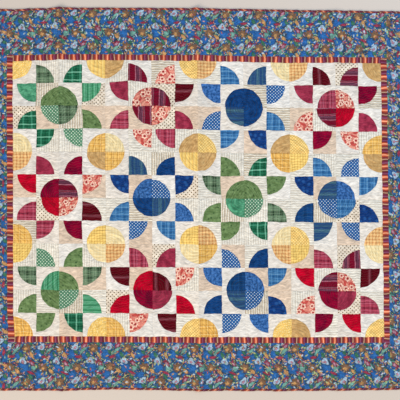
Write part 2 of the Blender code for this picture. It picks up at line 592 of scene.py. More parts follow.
# ---------------------------------------------------------------- cloth patterns
# Each takes the spot on the cloth, in millimetres, its colours, and the pattern's size.

Spot = namedtuple("Spot", "point x y")
MOTTLE = (0.36, 0.64)  # the noise at which a mottled dye begins and ends its change of colour
STRAY_RUN = 60  # millimetres over which a stripe strays to one side
DOT_EDGE = 0.3  # half the width over which a dot's edge fades
MOTIF_EDGE = 0.8  # the width over which a leaf's or flower's edge fades
HATCH_LINE = (0.30, 0.42)  # how near a line its colour begins and is full
NOTCH = 0.38  # share of a flower's radius by which the notches between its petals go in
STREW = 0.8  # how far strewn points are from an even lattice
STREW_SLANT = 1.7  # how much further up than right the points are moved for another strewing
FLECK_EDGE = (1.4, 0.6)  # shares of its radius at which a fleck begins and is full
POSY_LEAVES = ((11.0, 0.36), (37.0, 0.26))  # each kind's move, and its half width over radius
POSY_LEAF_LENGTH = 1.3
POSY_FLOWERS = ((0.0, 1.0), (59.0, 0.8))  # each kind's move, and its own share of radius
POSY_RIM = 0.85  # share of a flower inside its outline
POSY_EYE = 0.42  # share of it inside the ring round its heart
POSY_HEART = (0.24, 0.20)  # and where its heart begins and is full


def noise(spot, size, detail=3.0, roughness=0.6):
    inputs = {"Vector": spot.point, "Scale": 1 / size, "Detail": detail, "Roughness": roughness}
    return spot.point.node("ShaderNodeTexNoise", {"noise_dimensions": "2D"}, inputs)


def mottled(spot, colours, size):
    """Plain dyed cloth that varies softly between two colours."""
    return noise(spot, size).ramp(*MOTTLE).mix(opaque(colours[0]), opaque(colours[1]))


def banded(along, bands):
    """Bands of colour, as a text of widths in millimetres and colours, repeated along the cloth."""
    words = bands.split()
    widths = [float(word) for word in words[::2]]
    repeat, start, stops = sum(widths), 0.0, []
    for width, code in zip(widths, words[1::2]):
        stops.append((start / repeat, opaque(code)))
        start += width
    inputs = {0: (along / repeat).fraction()}
    return along.node("ShaderNodeValToRGB", {"ramp": "CONSTANT", "stops": stops}, inputs)


def striped(spot, colours, size):
    """Woven stripes that run along Y. Size is how far they stray."""
    return banded(spot.x + noise(spot, STRAY_RUN) * size, colours[0])


def plaid(spot, colours, size):
    """Bands both ways: where they cross, half of each shows."""
    stray = noise(spot, STRAY_RUN) * size
    warp, weft = banded(spot.x + stray, colours[0]), banded(spot.y + stray, colours[-1])
    return warp.blend(0.5, weft)


Place = namedtuple("Place", "x y far turn luck", defaults=(0.0,))


def in_repeat(spot, repeat, across, up, shift=(0.0, 0.0), turn=0.0):
    """The way, in millimetres, to the nearest point of a square lattice, turned so that it fits
    the repeat: across steps along its rows and up steps along its columns lead to the next one."""
    pitch, lean = repeat / hypot(across, up), atan2(up, across)
    cell = spot.point.turned(lean).dim(1 / pitch).vector("ADD", (*shift, 0.0))
    away = cell.vector("FRACTION", (0.0, 0.0, 0.0)).vector("SUBTRACT", (0.5, 0.5, 0.0))
    away = away.dim(pitch).turned(turn)
    x, y = away.parts()
    return Place(x, y, away.size(), x.math("ARCTAN2", y, x))


def dotted(spot, colours, size):
    """Small dots in staggered rows. Size is the pitch along a row and the dots' radius."""
    pitch, radius = size
    dots = (radius - in_repeat(spot, pitch, 1, 1).far).ramp(-DOT_EDGE, DOT_EDGE)
    return dots.mix(mottled(spot, colours, 30), opaque(colours[2]))


def strewn(spot, spacing, move):
    """The nearest of many points strewn over the cloth: the way to it in its own turned axes, the
    distance, the angle round it, and its luck from 0 to 1."""
    moved = spot.point.vector("ADD", (move, STREW_SLANT * move, 0.0))
    inputs = {"Vector": moved, "Scale": 1 / spacing, "Randomness": STREW}
    far = moved.node("ShaderNodeTexVoronoi", {"voronoi_dimensions": "2D"}, inputs)
    heading, luck = far.also(1).parts()
    x, y = moved.vector("SUBTRACT", far.also(2)).turned(heading * (2 * pi)).parts()
    return Place(x, y, far * spacing, x.math("ARCTAN2", y, x), luck)


def speckled(spot, colours, size):
    """Small round flecks strewn over the cloth. Size is their spacing and radius."""
    spacing, radius = size
    begin, full = FLECK_EDGE
    flecks = strewn(spot, spacing, 0.0).far.ramp(begin * radius, full * radius)
    return flecks.mix(mottled(spot, colours, 18), opaque(colours[2]))


def hatched(spot, colours, size):
    """Fine lines that cross on the diagonal."""
    rising = abs(((spot.x + spot.y) / size).fraction() - 0.5)
    falling = abs(((spot.x - spot.y) / size).fraction() - 0.5)
    lines = rising.math("MAXIMUM", rising, falling).ramp(*HATCH_LINE)
    return lines.mix(mottled(spot, colours, 40), opaque(colours[2]))


def leaf(here, long, wide):
    """Mask of a pointed leaf, by its half length and half width in millimetres."""
    reach = here.x / long
    return (wide * (1 - reach * reach) - abs(here.y)).ramp(0.0, MOTIF_EDGE)


def blossom(here, radius, petals):
    """Mask of a flower with round petals."""
    around = here.turn * (petals / 2)
    petal = abs(around.math("COSINE", around))
    return (radius * (1 - NOTCH + NOTCH * petal) - here.far).ramp(0.0, MOTIF_EDGE)


def posies(spot, colours, size):
    """Flowers and leaves strewn over a mottled ground. Size is their spacing and the radius of the
    large flowers, which have six petals and an outline like the leaves."""
    spacing, radius = size
    ground, shadow, petal, heart, leaves = colours
    colour = mottled(spot, (ground, shadow), 18)
    begin, full = POSY_HEART
    for move, wide in POSY_LEAVES:
        here = strewn(spot, spacing, move)
        colour = leaf(here, POSY_LEAF_LENGTH * radius, wide * radius).mix(colour, opaque(leaves))
    for move, share in POSY_FLOWERS:
        here, reach = strewn(spot, spacing, move), share * radius
        for ring, code in ((1.0, leaves), (POSY_RIM, petal), (POSY_EYE, leaves)):
            colour = blossom(here, ring * reach, 6).mix(colour, opaque(code))
        colour = here.far.ramp(begin * reach, full * reach).mix(colour, opaque(heart))
    return colour


# ---------------------------------------------------------------- fabrics

Fabric = namedtuple("Fabric", "letter name pattern colours size")
GROUND_FABRICS = (
    Fabric("W", "white_marble", mottled, ("#ede7e2", "#e5dfda"), 26),
    Fabric("C", "cream_marble", mottled, ("#eae2db", "#e3d9d0"), 26),
    Fabric("V", "cream_stripe", striped, ("4.4 #f2ede4 1.3 #cdc2b5 2.6 #eee8de 2.3 #beb2a3",), 3),
    Fabric("T", "tan_stripe", striped, ("3.4 #fbf6ea 2.4 #866b54 2.7 #e9dfcb 1.8 #a68c76",), 3),
    Fabric("D", "cream_dots", dotted, ("#efe1d1", "#e3d3c1", "#705a3c"), (17, 2.7)),
    Fabric("P", "peach_marble", mottled, ("#e6ceba", "#d7c0ac"), 22),
)
SUN_FABRICS = (
    Fabric("1", "golden_flecks", speckled, ("#f8ce77", "#f2c56c", "#ffe8ac"), (9, 1.9)),
    Fabric("2", "golden_hatch", hatched, ("#ffe498", "#ffd989", "#e0ae5c"), 12.7),
    Fabric("3", "golden_stripe", striped, ("7 #f6d07b 5 #eec36e 1.6 #cd9f51 2.6 #f9da90",), 2),
    Fabric(
        "4", "gold_plaid", plaid,
        ("6 #eebd69 3 #be8635 5 #e8b259 1.8 #fce0a6 4 #cf9646 7 #f1c371",), 3,
    ),
    Fabric("5", "golden_windowpane", plaid, ("9.2 #fad47c 2.6 #c08e3f",), 3),
    Fabric("6", "pale_yellow", plaid, ("6 #f5e3b6 2 #dfbf84 4 #f1dba9 1.5 #e3c995",), 2),
    Fabric("7", "tan_ochre", mottled, ("#d6ae76", "#c0955f"), 16),
    Fabric("8", "orange_check", plaid, ("8.7 #f4c78a 5.8 #c68651",), 1.5),
    Fabric(
        "9", "orange_plaid", plaid,
        ("7 #f5c069 2.6 #a97028 6 #e9b055 2 #ffecb2 5 #c48734 3 #f5c069 2 #a97028 6 #f3be67",), 4,
    ),
)
GREEN_FABRICS = (
    Fabric("O", "olive_spots", speckled, ("#779261", "#5a7446", "#3c5a36"), (33, 3.6)),
    Fabric(
        "S", "sage_plaid", plaid,
        (
            "7 #6c876a 2 #a0b69a 4 #4a6549 2 #94ac8e 7 #668468 2 #a0b69a 4 #2c4430 2 #7a9476 "
            "5 #22382a 2 #6c876a",
            "6 #708a6c 2 #a8bea2 5 #587459 2 #98b090 6 #688569 3 #3c563e 5 #1a301f 2 #7a9476 "
            "7 #182c1b 3 #4a634c",
        ),
        5,
    ),
    Fabric(
        "D", "green_plaid", plaid,
        (
            "4.5 #16593f 1.5 #338465 4.5 #16593f 3 #287659 6 #52a384 3 #287659 4.5 #12523a "
            "1.5 #338465 4.5 #12523a 3 #0c432c",
            "5 #175b41 1.5 #3d8f70 4.5 #175b41 4 #0c432c 2 #348868 4.5 #9edcc2 2 #348868 "
            "4 #0c432c 7 #175b41",
        ),
        5,
    ),
    Fabric("J", "jade", mottled, ("#62ac87", "#398060"), 22),
    Fabric(
        "K", "jade_stripe", striped,
        ("4 #3a8660 1.8 #7cbc9c 5 #3f8c65 2 #1f6745 7 #4f9b74 1.8 #84c4a4",), 5,
    ),
    Fabric("G", "green_dots", dotted, ("#5c9072", "#508468", "#e6eedc"), (14.4, 2.3)),
)
RED_FABRICS = (
    Fabric("R", "bright_red", mottled, ("#c8002a", "#a00020"), 30),
    Fabric("B", "burgundy", mottled, ("#90002f", "#6a0028"), 34),
    Fabric("A", "raspberry", mottled, ("#ab3853", "#84223b"), 30),
    Fabric(
        "P", "rose_plaid", plaid,
        (
            "9 #a83a52 2 #7c1a34 6 #b64e64 2 #c66e84 8 #a2344c 3 #6a0c26 6 #b04459",
            "8 #ba4860 2 #7c1834 6 #c4647c 3 #540420 4 #ac3e56 1.5 #dc90a4 6 #b84962 9 #620e28 "
            "3.5 #ae4056",
        ),
        5,
    ),
    Fabric(
        "M", "maroon_stripe", striped,
        ("28 #590314 2.4 #773440 3 #631828 2.6 #8d5660 3 #631828 2.4 #773440 8 #4d0310",), 4,
    ),
    Fabric(
        "T", "plum_stripe", striped,
        (
            "20 #760828 1.5 #8a384e 3 #ae6c80 1.5 #783c4e 7 #5c2a3e 1.5 #85506a 5.5 #5a2a40 "
            "2 #a8687c 4 #7a1a32 3 #8e5262 2 #5c1a30",
        ),
        4,
    ),
    Fabric(
        "C", "coral_posies", posies,
        ("#f0a28e", "#d3766d", "#fad0bc", "#981f2d", "#c44e49"), (39, 18),
    ),
)
BLUE_FABRICS = (
    Fabric("N", "navy", mottled, ("#154684", "#0b3366"), 20),
    Fabric("Y", "royal_navy", speckled, ("#143d80", "#0e316a", "#265698"), (26, 6.5)),
    Fabric("L", "royal_blue", mottled, ("#4a7cc0", "#1c4984"), 10),
    Fabric(
        "E", "teal_stripe", striped,
        (
            "9 #284a78 1.8 #3e6480 8 #284a78 2.2 #4c7484 4 #2c5074 2.2 #628a92 4 #2c5074 "
            "2.2 #4c7484 12 #264876 1.8 #446c80 5 #305478",
        ),
        5,
    ),
    Fabric(
        "U", "blue_plaid", plaid,
        (
            "7 #346ca4 2 #5c94c4 5 #2d649c 3 #6aa0cc 6 #346ca4 3.5 #205080",
            "6 #3067a0 3 #86bae2 3 #3670a8 2 #78b2dc 6 #2d639c 2.5 #649ecc 5 #2d639c 4 #1e4e80",
        ),
        6,
    ),
    Fabric("Q", "blue_dots", dotted, ("#2761a0", "#215593", "#eaf1f8"), (14.4, 2.05)),
    Fabric("X", "navy_plaid", plaid, ("16 #13427b 3 #265990 14 #0d3665 4 #1c4d84",), 6),
)

STRIPE_BANDS = (
    "5.5 #ffa47f 5 #b74b37 4 #6a2535 4.5 #8e4e6a 7 #6e2944 5 #6f3432 3 #d1ab90 5 #8e4f40 "
    "4 #782938 6.5 #b44d33"
)


# Every cotton. Distances from a line of quilting are shares of the spacing between two lines, each
# given where the effect begins and where it is full.
# Painted shade in the ditch along each seam: how wide it is, and the share by which it darkens the
# colour.
DITCH_WIDTH = 0.0012
SEAM_PAINTED_SHADE = 0.12
# Painted shade along each line of quilting: where it begins and is full, and the share by which it
# darkens the colour, times each patch's strength.
PINCH_SHADE_REACH = (0.20, 0.03)
PINCH_PAINTED_SHADE = 0.14
THREAD = (0.040, 0.025)
THREAD_COVER = 0.10  # how much the thread's colour covers the cloth's
THREAD_COLOUR = "#cfc6b6"
STITCH_LENGTH = 0.0028
STITCH_GAP = 0.3  # share of a stitch's length where the thread is underneath
TONE_SPREAD = 0.08  # how much lighter the lightest patch of a cloth is than the darkest
FADING = 0.12  # how unevenly the cloth has faded, over FADING_RUN
FADING_RUN = 130
SLUB = 0.08  # how uneven the yarn's colour is, over SLUB_RUN
SLUB_RUN = 9
PUCKER_PAINTED_SHADE = 1.9  # strength of the painted light and shade standing in for puckers across the lines of quilting
PAINTED_PUCKER_COUNTS = (1.3, 32.0, 0.0)  # how many painted puckers there are, to a line and to a metre along it
WEAVE = 0.5  # millimetres from thread to thread
# Relief of the cloth, in shares of RELIEF: its weave, the unevenness of its yarn over YARN_RUN
# millimetres, and how the filling swells up over FILLING_RUN between two lines of quilting.
RELIEF = 1.0  # in millimetres
WEAVE_RISE = 0.03
YARN_RISE = 0.5
YARN_RUN = 6
CLOTH_RISE = 0.55  # share of both that shows
FILLING_RUN = 35
FILLING_RISE = (0.1, 0.5)  # the least of it, and how much more there is where it's fullest
FILLING_REACH = 0.45  # how far from a line the filling takes to swell up
COTTON = {
    "Roughness": 0.88, "Specular IOR Level": 0.04, "Sheen Weight": 0.015, "Sheen Roughness": 0.5
}


def stitched_cotton(name, pattern, colours, size):
    """Quilting cotton: its pattern, a tone for each patch, painted shade in the ditch along its
    seams and along the lines of quilting, painted light and shade for the puckers across those
    lines, the dashes of the quilting thread, and the relief of its weave and of the filling between
    the stitches."""
    material = bpy.data.materials.new(name)
    material.use_nodes = True
    tree = material.node_tree
    sheet = Shade(tree)
    cloth, stitching, seams, patches = (
        sheet.node("ShaderNodeUVMap", {"uv_map": title}) for title in MAPS
    )
    point = cloth.dim(1 / MM)
    spot = Spot(point, *point.parts())
    phase, along = stitching.parts()
    seam, painted_shade_strength = seams.parts()
    tone, _ = patches.parts()
    off_line = abs((phase + 0.5).fraction() - 0.5)

    thread = off_line.ramp(*THREAD) * (along / STITCH_LENGTH).fraction().over(STITCH_GAP)
    # Painted light and shade for the puckers across the lines of quilting: noise stretched along
    # them and shifted for each patch
    pucker = Spot(stitching.vector("MULTIPLY", PAINTED_PUCKER_COUNTS).vector("ADD", patches), 0, 0)
    painted_pucker_shade = painted_shade_strength.math("MINIMUM", painted_shade_strength, 0.5) * (noise(pucker, 1.0, 2.0) - 0.5) * PUCKER_PAINTED_SHADE + 1
    fading = FADING * (noise(spot, FADING_RUN, 2.0) - 0.5) + SLUB * (noise(spot, SLUB_RUN) - 0.5)
    faded = 1 - TONE_SPREAD + TONE_SPREAD * tone + fading
    # Painted shade along the seams and along the lines of quilting
    shade = (1 - SEAM_PAINTED_SHADE * seam.ramp(DITCH_WIDTH, 0.0)) * (
        1 - PINCH_PAINTED_SHADE * painted_shade_strength * off_line.ramp(*PINCH_SHADE_REACH)
    )
    colour = pattern(spot, colours, size).dim(faded * painted_pucker_shade * shade)
    colour = (thread * THREAD_COVER).mix(colour, opaque(THREAD_COLOUR))

    threads, picks = (spot.x * (2 * pi / WEAVE)).sine(), (spot.y * (2 * pi / WEAVE)).sine()
    weave = threads * picks * WEAVE_RISE + noise(spot, YARN_RUN) * YARN_RISE
    least, more = FILLING_RISE
    filling = noise(spot, FILLING_RUN, 2.0).ramp(0.25, 0.75) * more + least
    height = weave * CLOTH_RISE + filling * off_line.ramp(0.0, FILLING_REACH)
    bump = {"Strength": 1.0, "Distance": RELIEF * MM, "Height": height}
    shader = tree.nodes["Principled BSDF"]
    tree.links.new(colour.socket, shader.inputs["Base Color"])
    tree.links.new(sheet.node("ShaderNodeBump", (), bump).socket, shader.inputs["Normal"])
    for socket, value in COTTON.items():
        shader.inputs[socket].default_value = value
    return material


# The printed border's motifs, from the bottom layer up, in millimetres. For a blossom, wide is its
# number of petals. A motif's place is in shares of its own lattice, across and up the repeat.
Motif = namedtuple("Motif", "shape across up right down turn long wide dye")
MOTIFS = (
    Motif(blossom, 1, 1, 0.62, 0.82, 0.0, 25, 4, "ground"),
    Motif(blossom, 1, 1, 0.10, 0.52, 0.0, 20, 5, "ground"),
    Motif(leaf, 2, 1, 0.30, 0.20, 0.5, 20, 7.0, "dark_leaf"),
    Motif(leaf, 1, 1, 0.42, 0.45, 1.4, 24, 9.0, "leaf"),
    Motif(leaf, 1, 1, 0.35, 0.75, -0.6, 18, 6.0, "crimson"),
    Motif(blossom, 1, 1, 0.15, 0.15, 0.3, 22, 7, "bark"),
    Motif(blossom, 1, 1, 0.13, 0.20, 0.6, 10, 4, "fruit"),
    Motif(blossom, 1, 1, 0.55, 0.35, 0.0, 14, 5, "crimson"),
    Motif(blossom, 1, 1, 0.53, 0.37, 0.3, 8, 5, "rose"),
    Motif(leaf, 1, 1, 0.78, 0.12, 0.2, 17, 7.5, "fruit"),
    Motif(blossom, 1, 1, 0.82, 0.60, 0.0, 17, 3, "pale"),
    Motif(blossom, 1, 1, 0.80, 0.62, 0.4, 7, 5, "rose"),
)
PRINT_REPEAT = 147
PRINT_BEND = 7.0  # how far the rows of motifs swing out of line
PRINT_MOTTLE = (0.46, 0.54)
OUTLINE = 1.2  # length of a motif's dark outline over that of the motif
LEAF_OUTLINE = 1.35  # and its width, for a leaf
OUTLINE_COVER = 0.6  # how much it covers what lies under it
RIM_LIGHT = 0.75  # brightness at a motif's rim
MIDDLE_LIGHT = 0.5  # how much more there is in its middle
DAPPLE = (0.64, 0.6)  # the print's least brightness, and how much more there is in the lightest
DAPPLE_RUN = 7
BUD_DYES = ("dark_leaf", "fruit", "pale", "young_leaf", "crimson", "deep", "leaf", "bark", "rose")
Buds = namedtuple("Buds", "spacing move")
LOWER_BUDS = (Buds(19, 0.0), Buds(19, 29.0), Buds(19, 71.0))
UPPER_BUDS = Buds(26, 53.0)
BUD_LENGTH = 8.5  # half of a bud's
BUD_WIDTH = 3.4
FLECK = (1.7, 1.1)  # outer and inner radius of the fleck on a bud


def border_print(spot, colours, size):
    """A busy print of leaves, fruit and flowers over small buds on blue, which repeats every size
    millimetres."""
    dyes = {
        name.removeprefix("print_"): (*getattr(colours, name), 1.0)
        for name in colours.__annotations__
        if name.startswith("print_")
    }
    along, across = (spot.y * (2 * pi / size)).sine(), (spot.x * (2 * pi / size)).sine()
    bend = {0: along * PRINT_BEND, 1: across * PRINT_BEND}
    shift = along.node("ShaderNodeCombineXYZ", (), bend)
    bent = Spot(spot.point.vector("ADD", shift), spot.x, spot.y)
    base = noise(spot, 22).ramp(*PRINT_MOTTLE).mix(dyes["ground"], dyes["deep"])
    for buds in LOWER_BUDS:
        base = add_buds(base, bent, buds, dyes)
    for motif in MOTIFS:
        here = in_repeat(bent, size, motif.across, motif.up, (motif.right, motif.down), motif.turn)
        wide = motif.wide * (LEAF_OUTLINE if motif.shape is leaf else 1)
        outline = motif.shape(here, OUTLINE * motif.long, wide)
        base = (outline * OUTLINE_COVER).mix(base, dyes["deep"])
        light = here.far.ramp(motif.long, 0.0) * MIDDLE_LIGHT + RIM_LIGHT
        petal = light.times(dyes[motif.dye][:3])
        base = motif.shape(here, motif.long, motif.wide).mix(base, petal)
    base = add_buds(base, bent, UPPER_BUDS, dyes)
    least, more = DAPPLE
    return base.dim(noise(spot, DAPPLE_RUN).ramp(0.3, 0.7) * more + least)


def add_buds(base, spot, buds, dyes):
    """Small leaves strewn over a print, each of one dye, with a fleck on each."""
    here = strewn(spot, buds.spacing, buds.move)
    stops = [(place / len(BUD_DYES), dyes[dye]) for place, dye in enumerate(BUD_DYES)]
    dye = here.luck.node("ShaderNodeValToRGB", {"ramp": "CONSTANT", "stops": stops}, {0: here.luck})
    base = leaf(here, BUD_LENGTH, BUD_WIDTH).mix(base, dye)
    return here.far.ramp(*FLECK).mix(base, dyes["gold"])


def fabric_materials(fabrics):
    return [stitched_cotton(f.name, f.pattern, f.colours, f.size) for f in fabrics]


# ---------------------------------------------------------------- the pieced field

Unit = namedtuple("Unit", "column row corner is_sun")


def units():
    """Every quarter-circle unit, from the top left."""
    for row in range(UNITS.y):
        corners = DISC_CORNERS[row % BLOCK].split()
        for column in range(UNITS.x):
            ends = (0, BLOCK - 1)
            is_sun = row % BLOCK in ends and column % BLOCK in ends
            corner = TURNED_UNITS.get((column, row), corners[column % BLOCK])
            yield Unit(column, row, corner, is_sun)


def letter_at(plan, unit):
    return plan[unit.row].replace(" ", "")[unit.column]


def disc_grid(steps, arc):
    """A quarter disc as a square grid bent to its arc: shares of the unit along its two sides."""
    share = np.linspace(0, 1, steps + 1)
    first, second = np.meshgrid(share, share)
    radius, lesser = np.maximum(first, second), np.minimum(first, second)
    turn = pi / 4 * lesser / np.maximum(radius, 1e-9)
    near, far = radius * np.cos(turn), radius * np.sin(turn)
    flat = first >= second
    a, b = np.where(flat, near, far), np.where(flat, far, near)
    reach = arc(np.arctan2(b, a))
    return a * reach, b * reach


def ground_grid(steps, rows, arc):
    """What is left of the unit: a grid from the arc out to its other two sides."""
    turn = np.linspace(0, pi / 2, 2 * steps + 1)
    reach = arc(turn)
    arc_a, arc_b = reach * np.cos(turn), reach * np.sin(turn)
    side = np.linspace(0, 2, 2 * steps + 1)
    side_a, side_b = np.minimum(2 - side, 1), np.minimum(side, 1)
    share = np.linspace(0, 1, rows + 1)[:, None]
    return arc_a + share * (side_a - arc_a), arc_b + share * (side_b - arc_b)


def has_rings(unit):
    """True for a sun and for the middle of a flower."""
    at_side, at_end = (place % BLOCK in (0, BLOCK - 1) for place in (unit.column, unit.row))
    return at_side == at_end


def unit_quilting(unit, x, y, a, b, in_disc, size):
    """Phase of, and distance along, the quilting in a unit: rings like wood grain on a sun and on
    the middle of a flower, and ripples on the rest."""
    if not (in_disc and has_rings(unit)):
        return wavy_lines(x, y, WAVE_SPACING, WAVE_RUN, WAVE_SWING)
    turn = np.arctan2(b, a)
    radius = np.hypot(a, b) * size
    start = 5 * round(unit.column / BLOCK) + 3 * round(unit.row / BLOCK)  # for the whole disc
    squash = 1 + RING_SQUASH * np.sin(2 * turn + start)
    stray = RING_STRAY * np.sin(radius / RING_STRAY_RUN + start)
    return radius * squash / RING_SPACING + stray, radius * turn


def add_patch(sheet, sizes, unit, grid, arc, in_disc, cut, slot):
    """Adds one patch. cut holds the place on its cloth, its tone, and whether it is turned."""
    field = seam_lines(sizes).field
    a, b = grid
    east, south = "e" in unit.corner, "s" in unit.corner
    x = (unit.column + np.where(east, 1 - a, a)) * sizes.unit_width - field.x
    y = field.y - (unit.row + np.where(south, 1 - b, b)) * sizes.unit_height
    size = sizes.unit_width
    to_arc = np.abs(np.hypot(a, b) - arc(np.arctan2(b, a)))
    sides = np.minimum.reduce([a, b, 1 - a, 1 - b])
    seam = np.clip(np.minimum(to_arc, sides), 0, 1) * size
    phase, along = unit_quilting(unit, x, y, a, b, in_disc, size)
    # How strongly painted shade marks this patch's lines of quilting and its painted puckers
    if not in_disc:
        painted_shade_strength = RIPPLE_PAINTED_SHADE
    elif has_rings(unit):
        painted_shade_strength = SUN_PAINTED_SHADE if unit.is_sun else MIDDLE_PAINTED_SHADE
    else:
        painted_shade_strength = PETAL_PAINTED_SHADE
    across, up = (y, -x) if cut.turned else (x, y)
    sheet.add(
        laid(sizes, x, y, quilted(sizes, x, y, seam, phase)),
        slot,
        cloth=(across + cut.right, up + cut.up),
        stitching=(phase, along),
        seams=(seam, painted_shade_strength),
        patches=(cut.tone, PAINTED_PUCKER_SHIFT * cut.tone),
    )


# The colour family of each block's flower, by rows of blocks
FLOWERS = (
    ("green_patches", "red_patches", "blue_patches", "red_patches"),
    ("red_patches", "blue_patches", "green_patches", "blue_patches"),
    ("green_patches", "red_patches", "blue_patches", "red_patches"),
)


def family_of(unit):
    if unit.is_sun:
        return "sun_patches"
    return FLOWERS[unit.row // BLOCK][unit.column // BLOCK]


def ground_family(letter):
    if letter in "WC":
        return "marble_grounds"
    return "striped_grounds" if letter in "VT" else "dotted_and_peach_grounds"


Cut = namedtuple("Cut", "right up tone turned")
Family = namedtuple("Family", "name fabrics")


def add_field(sizes):
    """The patches, joined into one piece for each family of cloths."""
    families = (
        Family("sun_patches", SUN_FABRICS),
        Family("green_patches", GREEN_FABRICS),
        Family("red_patches", RED_FABRICS),
        Family("blue_patches", BLUE_FABRICS),
        Family("marble_grounds", GROUND_FABRICS[:2]),
        Family("striped_grounds", GROUND_FABRICS[2:4]),
        Family("dotted_and_peach_grounds", GROUND_FABRICS[4:]),
    )
    homes = {}
    sheets = [Sheet() for _ in families]
    for sheet, family in zip(sheets, families):
        for slot, fabric in enumerate(family.fabrics):
            homes[family.name, fabric.letter] = (sheet, slot)
    draw = np.random.default_rng(PATCH_SEED)
    for unit in units():
        radius = sizes.arc + draw.uniform(-ARC_SPREAD, ARC_SPREAD)
        start = draw.uniform(0, 2 * pi)

        def arc(turn, radius=radius, start=start):
            """The radius of the pieced curve at each angle, as a share of the unit."""
            return radius * (1 + ARC_WOBBLE * np.sin(3 * turn + start))

        flower = family_of(unit)
        grids = (
            (DISC_PLAN, True, disc_grid(sizes.patch_steps, arc)),
            (GROUND_PLAN, False, ground_grid(sizes.patch_steps, sizes.ground_steps, arc)),
        )
        for plan, in_disc, grid in grids:
            letter = letter_at(plan, unit)
            cut = Cut(*draw.uniform(0, CUT_SPREAD, 2), draw.uniform(0, 1), letter.islower())
            name = flower if in_disc else ground_family(letter.upper())
            sheet, slot = homes[name, letter.upper()]
            add_patch(sheet, sizes, unit, grid, arc, in_disc, cut, slot)
    made = []
    for sheet, family in zip(sheets, families):
        piece = sheet.build(family.name, fabric_materials(family.fabrics))
        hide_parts("patchwork_field")
        made.append(piece)
    return made


# ---------------------------------------------------------------- borders, binding and backing

# A strip lies on the side of the quilt that sign points to along axis. Cut is how far over the
# cloth it was cut out.
Strip = namedtuple("Strip", "side axis sign cut")
STRIPS = (
    Strip("left", X, -1, 0.014),
    Strip("right", X, 1, 0.035),
    Strip("bottom", Y, -1, 0.0),
    Strip("top", Y, 1, 0.0),
)


def strip_plan(strip, inside, outside):
    """Lowest and highest corner of a border strip. Side strips run the full height."""
    low, high = [0.0, 0.0], [0.0, 0.0]
    axis, other = strip.axis, 1 - strip.axis
    low[axis], high[axis] = sorted((strip.sign * inside[axis], strip.sign * outside[axis]))
    reach = outside[other] if axis == X else inside[other]
    low[other], high[other] = -reach, reach
    return Pair(*low), Pair(*high)


def plan_grid(low, high, cell):
    """A grid of points over a rectangle, with square cells of about that size."""
    sides = zip(low, high)
    return np.meshgrid(*(np.linspace(a, b, max(2, round((b - a) / cell) + 1)) for a, b in sides))


def distance_to_sides(x, y, low, high):
    return np.minimum.reduce([x - low.x, high.x - x, y - low.y, high.y - y])


def add_border(sizes, strip, name, inside, outside, cell, quilting, material):
    """One flat strip of a border."""
    low, high = strip_plan(strip, inside, outside)
    x, y = plan_grid(low, high, cell)
    seam = distance_to_sides(x, y, low, high)
    along, across = (y, x) if strip.axis == X else (x, y)
    phase, run = quilting(along, across)
    sheet = Sheet()
    sheet.add(
        laid(sizes, x, y, quilted(sizes, x, y, seam, phase)),
        cloth=(along, across + strip.cut),
        stitching=(phase, run),
        seams=(seam, RIPPLE_PAINTED_SHADE),
        patches=(0.5, 0),
    )
    piece = sheet.build(name, [material])
    return piece


def unquilted(along, across):
    """The phase half way between two lines of quilting, everywhere."""
    return np.full_like(along, 0.5), along


def meandering(along, across):
    return wavy_lines(along, across, BORDER_SPACING, BORDER_RUN, BORDER_SWING)


def add_inner_border(sizes):
    """Four strips of striped cotton, with the stripes across them."""
    lines = seam_lines(sizes)
    material = stitched_cotton("cross_cut_stripe", striped, (STRIPE_BANDS,), 4)
    for strip in STRIPS:
        name = f"striped_strip_{strip.side}"
        piece = add_border(
            sizes, strip, name, lines.field, lines.inner, STRIPED_CELL, unquilted, material
        )
        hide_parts(f"inner_border_{strip.side}")


def add_outer_border(sizes, colours):
    """Four strips of printed cotton, quilted with wavy lines along them."""
    lines = seam_lines(sizes)
    material = stitched_cotton("border_print", border_print, colours, PRINT_REPEAT)
    for strip in STRIPS:
        name = f"printed_strip_{strip.side}"
        piece = add_border(
            sizes, strip, name, lines.inner, lines.outer, sizes.border_cell, meandering, material
        )
        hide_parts(f"outer_border_{strip.side}")


DIAGONAL = 0.7071  # share of a step along X, or along Y, that counts along the diagonal
DULLED_STRIPE = (STRIPE_BANDS, "#46323a")
DULLING = 0.35


def bias_striped(spot, colours, size):
    """The striped cloth, cut so that its stripes cross the strip on the diagonal. Size is how far
    its colours are mixed towards one dull colour."""
    stripes, dull = colours
    return banded((spot.x + spot.y) * DIAGONAL, stripes).blend(size, opaque(dull))


def add_binding(sizes):
    """Four strips cut on the bias, rolled over the quilt's edge and mitred at its corners."""
    outer = seam_lines(sizes).outer
    material = stitched_cotton("bias_stripe", bias_striped, DULLED_STRIPE, DULLING)
    share, height = np.array(BINDING_SECTION).T
    steps = np.hypot(np.diff(share) * USUAL_BINDING, np.diff(height))
    around = np.concatenate([[0], np.cumsum(steps)]) * MM
    is_raised = height > 0.5
    for strip in STRIPS:
        axis, other = strip.axis, 1 - strip.axis
        step = np.linspace(-1, 1, round(2 * outer[other] / BINDING_CELL))[:, None]
        outward = sizes.binding * share[None, :]
        along = step * (outer[other] + outward)
        away = strip.sign * (outer[axis] + outward) + 0 * step
        at = (away, along) if axis == X else (along, away)
        spacing = 2 * pi * along / BINDING_PUCKER_RUN + 2 * np.sin(along / BINDING_STRAY_RUN)
        pucker = 0.5 + 0.5 * np.sin(spacing)
        sheet = Sheet()
        sheet.add(
            laid(sizes, *at, height * MM * (1 - BINDING_PUCKER * pucker * is_raised)),
            cloth=(along, around),
            stitching=(0.5, along),
            seams=(around + FOLD_SEAM, 0.0),
            patches=(0.5, 0),
        )
        piece = sheet.build(f"bias_strip_{strip.side}", [material])
        flat = (float(around[-1]), 2 * outer[other] + 2 * sizes.binding)
        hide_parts(f"binding_{strip.side}")


